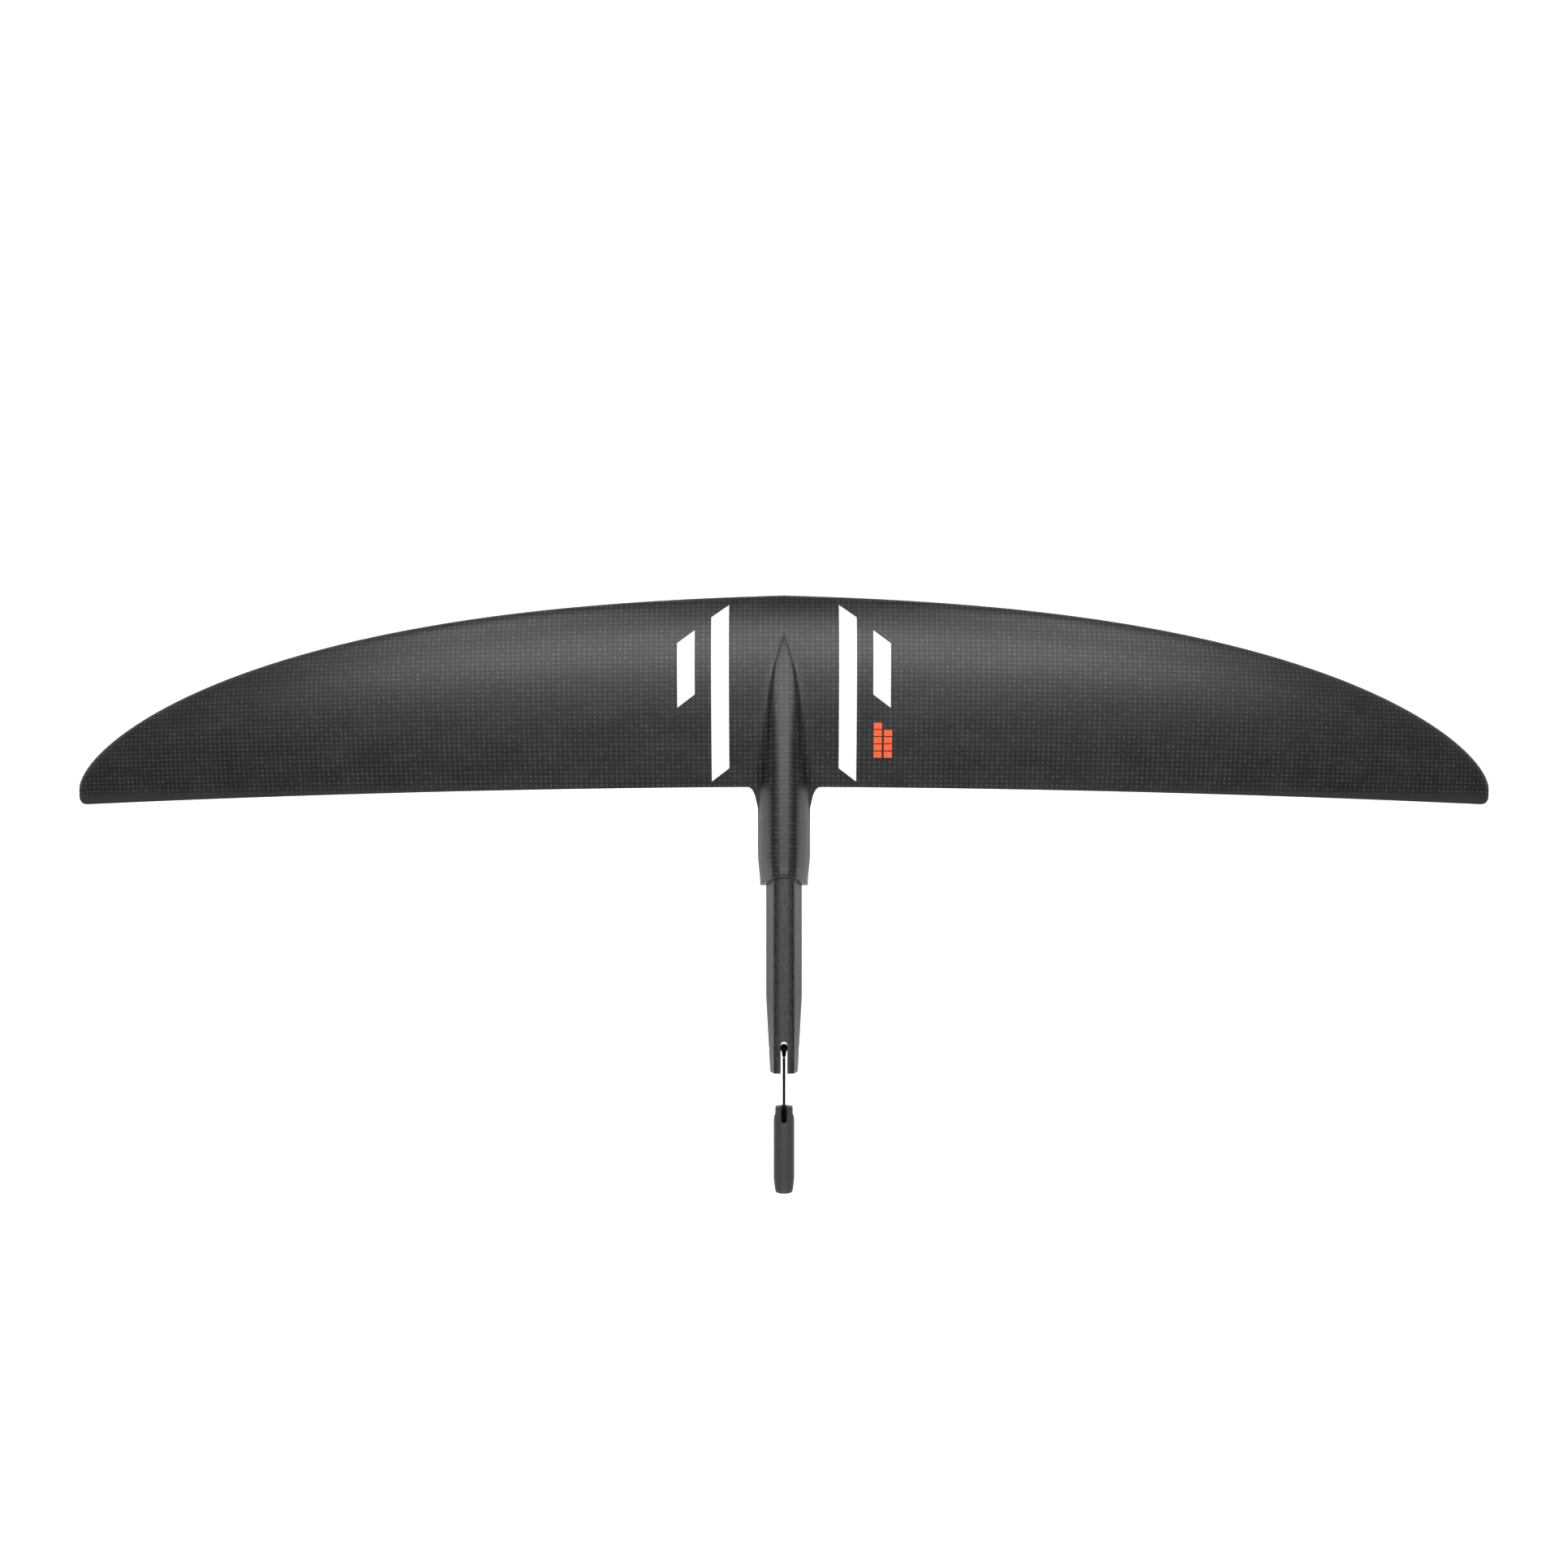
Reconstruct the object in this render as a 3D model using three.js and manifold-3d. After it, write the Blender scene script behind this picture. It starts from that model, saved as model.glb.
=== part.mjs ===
// Front wing of a hydrofoil: a carbon wing moulded in one with a short fuselage sleeve, a tapered
// spigot that plugs into the foot of a mast, and a pinned tie rod that carries a draw barrel.
// Millimetres, +Z up, +X to the rider's left, +Y towards the rear. The origin is on the spigot's axis, where
// the spigot leaves the sleeve. Shapes are laid out from the middle of the leading edge ("back" is the
// distance behind it, "z" the height above it), and the outer group moves them to the origin.
import * as THREE from 'three';
import { mergeVertices } from 'three/addons/utils/BufferGeometryUtils.js';
import Module from 'manifold-3d';

const wasm = await Module();
wasm.setup();

// Wing plan
const HALF_SPAN = 575.6;
const ROOT_CHORD = 146;
const LEAD_SWEEP = 122.5; // how far the curved leading edge falls back at the tip
const LEAD_RAKE = 18; // the straight part of its sweep, which leaves a slight point in the middle
const TRAIL_SWEEP = 8.8;
const TIP_CORNER = 7;
const DROOP_RADIUS = 2370; // the wing arches down on a circle of this radius

// Wing section, as fractions of the chord
const ROOT_THICKNESS = 0.112;
const TIP_THICKNESS = 0.095;
const CAMBER = 0.031;
const CAMBER_PEAK = 0.4;
const TRAIL_SLOPE = 2 / 146; // the chord line falls this much towards the trailing edge
const EDGE = 0.9; // thickness of the trailing edge

// Laminates and the gap kept between bonded pieces
const SKIN = 1.2;
const GAP = 0.3;
const TIP_SEAM = 530; // the solid tip blocks start here

// Fuselage sleeve
const AXIS_Z = -3; // the spigot's axis, on the level of the parting line
const SLEEVE_NOSE = 34;
const SEAT = 221; // the sleeve's end, where the spigot comes out of it, and the origin
const SLEEVE_HALF_WIDTH = 19.6;
const SLEEVE_WAIST = 1.8; // how much each side draws in towards the sleeve's end
const WAIST_START = 195;
const SLEEVE_TOP = 22.8;
const SLEEVE_RAKE = 0.25; // the end face falls forward above and below the axis
const SLEEVE_GROWTH = 20; // how soon behind its nose the sleeve reaches its full width
const FILLET_START = 27.5; // half-width where the trailing edge begins to curve into the sleeve
const FILLET_LENGTH = 24;

// Spigot
const SPIGOT_ROOT = 172;
const SPIGOT_TAPER = 305.5;
const SPIGOT_END = 363.5;
const SPIGOT_HALF_WIDTH = 13.7;
const SPIGOT_END_HALF_WIDTH = 10.6;
const SPIGOT_HALF_HEIGHT = 20;
const SPIGOT_END_HALF_HEIGHT = 13.6;
const SPIGOT_WALL = 3.2;
const SPIGOT_HOLLOW_END = 325; // solid from here to its end, where the slot and the pin are
const SPIGOT_CROWN = 7.7;
const SLOT_WIDTH = 5;
const SLOT_FRONT = 339.2;
const PIN_BACK = 345.4;
const PIN_RADIUS = 2;

// Tie rod and barrel
const ROD_RADIUS = 1;
const ROD_STEM_RADIUS = 1.25;
const BARREL_FRONT = 389.8;
const BARREL_END = 455.7;
const BARREL_RADIUS = 7.9;
const BARREL_NECK_RADIUS = 6.65;
const NOTCH_END = 401.8;
const HEAD_FRONT = 406.2;

const MATERIALS = {
  carbon: { color: 0x2a2c2e, roughness: 0.38, metalness: 0.1 },
  spar: { color: 0x1c1d1f, roughness: 0.5, metalness: 0.1 },
  foam: { color: 0xd9cfa8, roughness: 0.9, metalness: 0 },
  film: { color: 0xf4f4f2, roughness: 0.45, metalness: 0 },
  mark: { color: 0xff5a2c, roughness: 0.45, metalness: 0 },
  steel: { color: 0x15161a, roughness: 0.35, metalness: 0.8 },
  brass: { color: 0xb08d4a, roughness: 0.35, metalness: 0.9 },
  polymer: { color: 0x474849, roughness: 0.6, metalness: 0 },
};

const wing = new THREE.Group();
wing.position.set(0, -SEAT, -AXIS_Z);

function add(name, geometry, material) {
  const mesh = new THREE.Mesh(geometry, new THREE.MeshStandardMaterial(MATERIALS[material]));
  mesh.name = name;
  wing.add(mesh);
  return mesh;
}

// ---- solids and booleans ------------------------------------------------------------------------

// A geometry from corner points and triangles, without the triangles that have no area.
function facets(points, triangles) {
  const same = (a, b) => points[a].distanceToSquared(points[b]) < 1e-8;
  const kept = triangles.filter(([a, b, c]) => !same(a, b) && !same(b, c) && !same(c, a));
  const geometry = new THREE.BufferGeometry();
  const corners = kept.flat().flatMap((i) => points[i].toArray());
  geometry.setAttribute('position', new THREE.Float32BufferAttribute(corners, 3));
  return mergeVertices(geometry, 1e-4);
}

function toSolid(geometry) {
  const bare = geometry.clone();
  bare.deleteAttribute('normal');
  bare.deleteAttribute('uv');
  const merged = mergeVertices(bare, 1e-4);
  const vertProperties = new Float32Array(merged.attributes.position.array);
  const triVerts = new Uint32Array(merged.index.array);
  return new wasm.Manifold(new wasm.Mesh({ numProp: 3, vertProperties, triVerts }));
}

function toGeometry(solid) {
  const mesh = solid.getMesh();
  const geometry = new THREE.BufferGeometry();
  geometry.setAttribute('position', new THREE.BufferAttribute(mesh.vertProperties, 3));
  geometry.setIndex(new THREE.BufferAttribute(mesh.triVerts, 1));
  return geometry;
}

// The closed body between two height fields. spans are distances to the side, fractions run from
// front to rear, and back(span, fraction) says how far behind the leading edge's middle a corner is.
function slab(spans, fractions, back, top, bottom) {
  const points = [];
  const columns = fractions.length;
  const half = spans.length * columns;
  for (const height of [top, bottom]) {
    for (const span of spans) {
      for (const fraction of fractions) {
        const y = back(span, fraction);
        points.push(new THREE.Vector3(span, y, height(span, fraction, y)));
      }
    }
  }
  const at = (i, j) => i * columns + j;
  const triangles = [];
  const quad = (a, b, c, d) => triangles.push([a, b, c], [a, c, d]);
  for (let i = 0; i + 1 < spans.length; i++) {
    for (let j = 0; j + 1 < columns; j++) {
      const [a, b, c, d] = [at(i, j), at(i + 1, j), at(i + 1, j + 1), at(i, j + 1)];
      quad(a, b, c, d);
      quad(a + half, d + half, c + half, b + half);
    }
  }
  const wall = (a, b) => quad(a, a + half, b + half, b);
  for (let i = 0; i + 1 < spans.length; i++) {
    wall(at(i, 0), at(i + 1, 0));
    wall(at(i + 1, columns - 1), at(i, columns - 1));
  }
  for (let j = 0; j + 1 < columns; j++) {
    wall(at(spans.length - 1, j), at(spans.length - 1, j + 1));
    wall(at(0, j + 1), at(0, j));
  }
  return facets(points, triangles);
}

// A closed body through rings of equal length, each listed anticlockwise as seen from the rear. Its
// end faces are fans about the points on the spigot's axis at the distances front and rear.
function loft(rings, front, rear) {
  const count = rings[0].length;
  const points = rings.flat();
  const triangles = [];
  for (let i = 0; i + 1 < rings.length; i++) {
    for (let j = 0; j < count; j++) {
      const a = i * count + j;
      const b = i * count + ((j + 1) % count);
      triangles.push([a, b, b + count], [a, b + count, a + count]);
    }
  }
  const cap = (back, start, order) => {
    const middle = points.length;
    points.push(new THREE.Vector3(0, back, AXIS_Z));
    for (let j = 0; j < count; j++) {
      const pair = [start + j, start + ((j + 1) % count)];
      triangles.push(order > 0 ? [pair[0], pair[1], middle] : [pair[1], pair[0], middle]);
    }
  };
  cap(front, 0, -1);
  cap(rear, (rings.length - 1) * count, 1);
  return facets(points, triangles);
}

const steps = (from, to, count) =>
  Array.from({ length: count + 1 }, (_, i) => from + ((to - from) * i) / count);

// ---- wing surfaces ------------------------------------------------------------------------------

function lead(span) {
  const share = Math.min(Math.abs(span) / HALF_SPAN, 1);
  return LEAD_SWEEP * (1 - (1 - share ** 2.6) ** 0.625) + LEAD_RAKE * share;
}

function trail(span) {
  const out = Math.abs(span);
  const straight = ROOT_CHORD + TRAIL_SWEEP * (out / HALF_SPAN) ** 1.6;
  const corner = Math.max(0, out - (HALF_SPAN - TIP_CORNER));
  const inset = TIP_CORNER - Math.sqrt(Math.max(0, TIP_CORNER ** 2 - corner ** 2));
  return straight - inset;
}

// How far the trailing edge runs back along the sleeve's side, on a quarter of an ellipse.
function fillet(span) {
  const share = (FILLET_START - Math.abs(span)) / (FILLET_START - SLEEVE_HALF_WIDTH);
  return FILLET_LENGTH * (1 - Math.sqrt(1 - THREE.MathUtils.clamp(share, 0, 1) ** 2));
}

const chord = (span) => trail(span) - lead(span);
const stretch = (fraction) => THREE.MathUtils.clamp((fraction - 0.8) / 0.2, 0, 1) ** 2;
const backAt = (span, fraction) =>
  lead(span) + fraction * chord(span) + fillet(span) * stretch(fraction);
const droop = (span) => Math.sqrt(DROOP_RADIUS ** 2 - span ** 2) - DROOP_RADIUS;
const parting = (span, y) => droop(span) - TRAIL_SLOPE * (y - lead(span));

// Height of the upper (side 1) or lower (side -1) surface, moved inwards by depth.
function surface(side, depth) {
  return (span, fraction, y) => {
    const out = Math.abs(span) / HALF_SPAN;
    const relative = THREE.MathUtils.lerp(ROOT_THICKNESS, TIP_THICKNESS, out);
    const f = fraction;
    const shape = 0.2969 * Math.sqrt(f) - 0.126 * f - 0.3516 * f ** 2 + 0.2843 * f ** 3 - 0.1036 * f ** 4;
    const front = (2 * CAMBER_PEAK * f - f ** 2) / CAMBER_PEAK ** 2;
    const rear = (1 - 2 * CAMBER_PEAK + 2 * CAMBER_PEAK * f - f ** 2) / (1 - CAMBER_PEAK) ** 2;
    const camber = CAMBER * (f < CAMBER_PEAK ? front : rear);
    const half = 5 * relative * shape * chord(span) + (EDGE / 2) * f;
    return parting(span, y) + camber * chord(span) + side * (half - depth);
  };
}

// Every piece of the wing is cut from the same grid, so that its facets lie along its neighbours'.
const FRACTIONS = [0, 0.006, 0.018, 0.036, 0.066, 0.11, 0.16, 0.22, 0.32, 0.42, 0.54, 0.67, 0.8, 0.9, 1];
const beside = steps(Math.asin(FILLET_START / HALF_SPAN), Math.PI / 2, 18)
  .map((angle) => HALF_SPAN * Math.sin(angle));
const oneSide = [12, SLEEVE_HALF_WIDTH, 22, 24.5, ...beside];
const SPANS = [...oneSide.map((span) => -span).reverse(), 0, ...oneSide];

// The part of a list from one value to another, with both of them in it.
const between = (list, from, to) =>
  [from, ...list.filter((value) => value > from + 1e-3 && value < to - 1e-3), to];

function piece([left, right], [front, rear], depth) {
  const spans = between(SPANS, left, right);
  return slab(spans, between(FRACTIONS, front, rear), backAt, surface(1, depth), surface(-1, depth));
}

// ---- fuselage and spigot sections ---------------------------------------------------------------

// A tall ring with flat flanks and a rounded crown and keel. crown is half the crown's width, and rise
// is its share of the height.
function section({ back, half, flat, crown, rise, up, down, rake = 0 }) {
  const side = (height) => [
    [half, flat],
    ...steps(crown, 0, 3).map((x) => [x, height * (1 - rise * (x / crown) ** 2)]),
  ];
  const place = (x, z) => new THREE.Vector3(x, back - rake * Math.abs(z), AXIS_Z + z);
  const keel = side(down);
  const top = side(up);
  return [
    ...keel.map(([x, z]) => place(x, -z)),
    ...keel.slice(0, -1).reverse().map(([x, z]) => place(-x, -z)),
    ...top.map(([x, z]) => place(-x, z)),
    ...top.slice(0, -1).reverse().map(([x, z]) => place(x, z)),
  ];
}

// The sleeve grows out of the wing's top and underside; inset moves its walls inwards.
function sleeveSection(back, inset, rake) {
  const along = (back - SLEEVE_NOSE) / (SEAT - SLEEVE_NOSE);
  const grown = 1 - Math.exp(-(back - SLEEVE_NOSE) / SLEEVE_GROWTH);
  const waist = SLEEVE_WAIST * THREE.MathUtils.smoothstep(back, WAIST_START, SEAT);
  const half = 2 + (SLEEVE_HALF_WIDTH - 1.6) * grown - waist - 1.4 * inset;
  const top = 11.5 + (SLEEVE_TOP - 11.5) * along ** 0.75;
  const low = 3.5 + (SLEEVE_TOP + 2.5) * THREE.MathUtils.smoothstep(along, 0, 0.85);
  const [up, down] = [top - AXIS_Z - inset, low + AXIS_Z - inset];
  return section({ back, half, flat: 1, crown: 0.74 * half, rise: 0.33, up, down, rake });
}

function spigotSection(back, inset) {
  const taper = THREE.MathUtils.clamp((back - SPIGOT_TAPER) / (SPIGOT_END - SPIGOT_TAPER), 0, 1);
  const along = THREE.MathUtils.clamp((back - SEAT) / (SPIGOT_END - SEAT), 0, 1);
  const half = THREE.MathUtils.lerp(SPIGOT_HALF_WIDTH, SPIGOT_END_HALF_WIDTH, taper) - inset;
  const height = THREE.MathUtils.lerp(SPIGOT_HALF_HEIGHT, SPIGOT_END_HALF_HEIGHT, along) - inset;
  const crown = SPIGOT_CROWN - 0.6 * inset;
  return section({ back, half, flat: 1.5, crown, rise: 0.13, up: height, down: height });
}

const sleeveLoft = (from, to, inset, rake) => {
  const backs = [...steps(from, to - 6, 9), to];
  return loft(backs.map((back) => sleeveSection(back, inset, back === to ? rake : 0)), from, to);
};
const spigotLoft = (backs, inset) =>
  loft(backs.map((back) => spigotSection(back, inset)), backs[0], backs[backs.length - 1]);

// ---- skins --------------------------------------------------------------------------------------

const CAVITY_END = TIP_SEAM - SKIN;
const CAVITY = [0.03, 0.86]; // fractions of the chord
const CORE_FRONT = 69.5;
const CORE_REAR = 168;
const outerWing = piece([GAP / 2 - TIP_SEAM, TIP_SEAM - GAP / 2], [0, 1], 0);
const innerWing = piece([-CAVITY_END, CAVITY_END], CAVITY, SKIN);
const outerBody = toSolid(outerWing).add(toSolid(sleeveLoft(SLEEVE_NOSE, SEAT, 0, SLEEVE_RAKE)));
const cavity = toSolid(innerWing)
  .add(toSolid(sleeveLoft(CORE_FRONT - GAP, CORE_REAR + GAP, 1.6, 0)))
  .add(toSolid(spigotLoft([SPIGOT_ROOT - GAP, SEAT, SEAT + 10], -GAP)));
const shell = outerBody.subtract(cavity);

// Splits the shell along the parting surface into its upper and lower laminate.
const FAR = 80;
const plan = (span, fraction) => -10 + 260 * fraction;
function halfSpace(side) {
  const near = (span, fraction, y) => parting(span, y) + (side * GAP) / 2;
  const far = (span, fraction, y) => near(span, fraction, y) + side * FAR;
  const [top, bottom] = side > 0 ? [far, near] : [near, far];
  return toSolid(slab(SPANS, [0, 1], plan, top, bottom));
}
add('upper_skin', toGeometry(shell.intersect(halfSpace(1))), 'carbon');
add('lower_skin', toGeometry(shell.intersect(halfSpace(-1))), 'carbon');

// ---- inside the wing ----------------------------------------------------------------------------

const SPAR_END = 500;
const CORE_END = 515;
const STRIP_END = 450;
const CAP_THICKNESS = 1;
const BODY_SIDE = 18; // the rear cores stop beside the fuselage core
const STRIP_START = 30;
const INSIDE = SKIN + GAP;
const UNDER_CAP = INSIDE + CAP_THICKNESS;

// Where each piece starts and ends, as fractions of the chord
const LEADING_EDGE = [0.036, 0.056];
const FRONT_CORE = [0.066, 0.21];
const SPAR = [0.22, 0.42];
const WEB = [0.31, 0.33];
const REAR_CORE = [0.43, 0.8];
const TRAILING_EDGE = [0.815, 0.85];

const sparSpans = between(SPANS, -SPAR_END, SPAR_END);
const sparBand = between(FRACTIONS, ...SPAR);
const capBody = (top, bottom) => slab(sparSpans, sparBand, backAt, top, bottom);
add('spar_cap_upper', capBody(surface(1, INSIDE), surface(1, UNDER_CAP)), 'spar');
add('spar_cap_lower', capBody(surface(-1, UNDER_CAP), surface(-1, INSIDE)), 'spar');
add('spar_web', piece([-SPAR_END, SPAR_END], WEB, UNDER_CAP + GAP), 'spar');

for (const [label, sign] of [['left', 1], ['right', -1]]) {
  const reach = (from, to) => [from * sign, to * sign].sort((a, b) => a - b);
  add(`leading_edge_${label}`, piece(reach(GAP, STRIP_END), LEADING_EDGE, INSIDE), 'spar');
  add(`front_core_${label}`, piece(reach(GAP, CORE_END), FRONT_CORE, INSIDE), 'foam');
  add(`rear_core_${label}`, piece(reach(BODY_SIDE, CORE_END), REAR_CORE, INSIDE), 'foam');
  add(`trailing_edge_${label}`, piece(reach(STRIP_START, STRIP_END), TRAILING_EDGE, INSIDE), 'spar');
  add(`tip_${label}`, piece(reach(TIP_SEAM + GAP / 2, HALF_SPAN), [0, 1], 0), 'carbon');
}
add('fuselage_core', sleeveLoft(CORE_FRONT, CORE_REAR, 1.9, 0), 'foam');

// ---- spigot and cross pin -----------------------------------------------------------------------

const spigotBacks = [SPIGOT_ROOT, SEAT, SPIGOT_TAPER, SPIGOT_END];
const hollow = spigotLoft([SPIGOT_ROOT - 5, SEAT, SPIGOT_TAPER, SPIGOT_HOLLOW_END], SPIGOT_WALL);

function slotCutter() {
  const half = SLOT_WIDTH / 2;
  const outline = new THREE.Shape();
  outline.moveTo(half, SPIGOT_END + 5);
  outline.lineTo(-half, SPIGOT_END + 5);
  outline.lineTo(-half, SLOT_FRONT + half);
  outline.absarc(0, SLOT_FRONT + half, half, Math.PI, 2 * Math.PI, false);
  outline.closePath();
  const options = { depth: 60, bevelEnabled: false, curveSegments: 10 };
  return new THREE.ExtrudeGeometry(outline, options).translate(0, 0, AXIS_Z - 30);
}

// A round bar along X, or along Y.
function bar(radius, length, axis, x, y, sides = 20) {
  const cylinder = new THREE.CylinderGeometry(radius, radius, length, sides);
  if (axis === 'x') cylinder.rotateZ(Math.PI / 2);
  return cylinder.translate(x, y, AXIS_Z);
}

const pinHole = bar(PIN_RADIUS + GAP, 40, 'x', 0, PIN_BACK);
const spigot = toSolid(spigotLoft(spigotBacks, 0))
  .subtract(toSolid(hollow))
  .subtract(toSolid(slotCutter()))
  .subtract(toSolid(pinHole));
add('spigot', toGeometry(spigot), 'carbon');
const coreBacks = [SPIGOT_ROOT + GAP, SEAT, SPIGOT_TAPER, SPIGOT_HOLLOW_END - GAP];
add('spigot_core', spigotLoft(coreBacks, SPIGOT_WALL + GAP), 'foam');
add('cross_pin', bar(PIN_RADIUS, 21.6, 'x', 0, PIN_BACK), 'steel');

// ---- tie rod ------------------------------------------------------------------------------------

// A turned body on the rod's axis, from [back, radius] pairs that start and end on the axis.
function turned(profile, sides = 24) {
  const lathe = new THREE.LatheGeometry(profile.map(([back, r]) => new THREE.Vector2(r, back)), sides);
  return lathe.translate(0, 0, AXIS_Z);
}

const EYE_RADIUS = 3.1;
const EYE_WIDTH = 4.2;
const neckEnd = PIN_BACK + 7;
const neck = turned([
  [PIN_BACK + 2.5, 0], [PIN_BACK + 2.5, 1.7], [PIN_BACK + 4.4, 1.6], [neckEnd, 1.2], [neckEnd, 0],
]);
const eye = toSolid(bar(EYE_RADIUS, EYE_WIDTH, 'x', 0, PIN_BACK))
  .add(toSolid(neck))
  .subtract(toSolid(bar(PIN_RADIUS + GAP, 10, 'x', 0, PIN_BACK)));
add('rod_eye', toGeometry(eye), 'steel');

const stemStart = BARREL_FRONT + 2;
const shaft = [[neckEnd + GAP, 0], [neckEnd + GAP, ROD_RADIUS], [stemStart, ROD_RADIUS]];
const stem = [[stemStart + 1, ROD_STEM_RADIUS], [HEAD_FRONT - GAP, ROD_STEM_RADIUS], [HEAD_FRONT - GAP, 0]];
add('tie_rod', turned([...shaft, ...stem], 12), 'steel');
const headEnd = HEAD_FRONT + 4;
add('rod_head', turned([
  [HEAD_FRONT, 0], [HEAD_FRONT, 2.9], [headEnd - 1, 2.9], [headEnd, 1.9], [headEnd, 0],
]), 'steel');

// ---- barrel -------------------------------------------------------------------------------------

const BORE_RADIUS = 3.4;
const THROAT_RADIUS = ROD_STEM_RADIUS + GAP;
const boreStart = NOTCH_END + 2.4;
const insertStart = 424;
const barrelOutline = [
  [BARREL_FRONT, 0], [BARREL_FRONT, BARREL_NECK_RADIUS], [395.7, BARREL_NECK_RADIUS + 0.15],
  [397, 7.55], [400, BARREL_RADIUS], [445, BARREL_RADIUS], [451, 7.2], [454.6, BARREL_NECK_RADIUS],
  [BARREL_END, 5.8], [BARREL_END, 0],
];
const boreEnd = BARREL_END + 2;
const barrelBore = [[boreStart, 0], [boreStart, BORE_RADIUS], [boreEnd, BORE_RADIUS], [boreEnd, 0]];
const throatEnd = boreStart + 1;
const throatStart = BARREL_FRONT - 2;
const throat = [
  [throatStart, 0], [throatStart, THROAT_RADIUS], [throatEnd, THROAT_RADIUS], [throatEnd, 0],
];

// The notch is open at the front and on top, with a round floor along the rod and a round end.
function notchCutter() {
  const half = SLOT_WIDTH / 2;
  const outline = new THREE.Shape();
  outline.moveTo(-half, BARREL_FRONT - 2);
  outline.lineTo(half, BARREL_FRONT - 2);
  outline.lineTo(half, NOTCH_END - half);
  outline.absarc(0, NOTCH_END - half, half, 0, Math.PI, false);
  outline.closePath();
  const options = { depth: 14, bevelEnabled: false, curveSegments: 10 };
  return new THREE.ExtrudeGeometry(outline, options).translate(0, 0, AXIS_Z - half);
}

const barrel = toSolid(turned(barrelOutline, 32))
  .subtract(toSolid(turned(barrelBore)))
  .subtract(toSolid(turned(throat, 16)))
  .subtract(toSolid(notchCutter()));
add('barrel_sleeve', toGeometry(barrel), 'polymer');

function ring(from, to, outer, inner, sides = 24) {
  const corners = [[from, inner], [from, outer], [to, outer], [to, inner], [from, inner]];
  return turned(corners, sides);
}
add('thrust_washer', ring(boreStart + GAP, HEAD_FRONT - GAP, 3.1, THROAT_RADIUS, 16), 'brass');
add('threaded_insert', ring(insertStart, BARREL_END - 0.4, BORE_RADIUS - GAP, 2.1, 16), 'brass');

// ---- films on the wing's top --------------------------------------------------------------------

const SLANT = 9.9;
const FILM = 0.3;
const FILM_GAP = 0.42;

// A film whose front and rear ends are cut on the slant, outer ends further back.
function film(inner, outer, front, rear, slant) {
  const spans = [inner, outer];
  const share = (span) => Math.abs((span - inner) / (outer - inner));
  const place = (span, fraction) => front + slant * share(span) + (rear - front) * fraction;
  const height = (lift) => (span, fraction, y) =>
    surface(1, -lift)(span, (y - lead(span)) / chord(span), y);
  const ordered = inner < outer ? spans : [outer, inner];
  return slab(ordered, steps(0, 1, 16), place, height(FILM_GAP + FILM), height(FILM_GAP));
}
const LONG_STRIPE = { inner: 41.6, outer: 55, front: 8.7, rear: 132 };
const SHORT_STRIPE = { inner: 67.4, outer: 80.7, front: 28.6, rear: 77 };
const MARK = { inner: 68, outer: 82, front: 98, rear: 124 };
const filmOf = ({ inner, outer, front, rear }, sign, slant) =>
  film(sign * inner, sign * outer, front, rear, slant);
for (const [label, sign] of [['left', 1], ['right', -1]]) {
  add(`long_stripe_${label}`, filmOf(LONG_STRIPE, sign, SLANT), 'film');
  add(`short_stripe_${label}`, filmOf(SHORT_STRIPE, sign, SLANT), 'film');
}
add('size_mark', filmOf(MARK, -1, 0), 'mark');

export default new THREE.Group().add(wing);
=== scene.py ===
"""The looks of a hydrofoil front wing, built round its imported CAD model.

Shapes are laid out in millimetres, as the part's own drawing is: x across the span, "back" behind the
middle of the leading edge and z above it. to_row() turns them into the row frame in metres.
"""
import math
import bmesh
import bpy
import numpy as np
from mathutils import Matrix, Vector


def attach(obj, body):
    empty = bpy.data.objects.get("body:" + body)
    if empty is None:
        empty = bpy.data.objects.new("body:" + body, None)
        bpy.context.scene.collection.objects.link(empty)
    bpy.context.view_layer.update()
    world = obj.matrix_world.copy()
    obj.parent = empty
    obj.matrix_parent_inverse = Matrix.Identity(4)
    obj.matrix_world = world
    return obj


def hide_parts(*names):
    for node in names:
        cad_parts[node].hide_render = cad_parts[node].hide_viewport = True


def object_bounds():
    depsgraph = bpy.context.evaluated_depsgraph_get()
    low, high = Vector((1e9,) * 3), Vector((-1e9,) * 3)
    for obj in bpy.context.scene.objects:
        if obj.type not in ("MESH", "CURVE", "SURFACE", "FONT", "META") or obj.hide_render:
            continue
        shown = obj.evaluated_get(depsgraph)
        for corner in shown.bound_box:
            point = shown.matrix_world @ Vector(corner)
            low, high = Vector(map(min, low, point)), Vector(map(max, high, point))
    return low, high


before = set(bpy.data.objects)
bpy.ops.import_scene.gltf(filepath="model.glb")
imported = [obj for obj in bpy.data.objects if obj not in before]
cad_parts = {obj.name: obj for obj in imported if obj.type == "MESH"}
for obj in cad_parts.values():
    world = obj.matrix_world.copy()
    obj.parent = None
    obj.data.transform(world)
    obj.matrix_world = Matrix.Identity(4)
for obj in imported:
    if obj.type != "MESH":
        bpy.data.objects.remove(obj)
cad_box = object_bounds()

MM = 0.001
ORIGIN_BACK = 221.0
AXIS_Z = -3.0
SHARP_DEGREES = 38
MERGE_METRES = 3e-7
SLIVER_METRES = 1e-7

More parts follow.
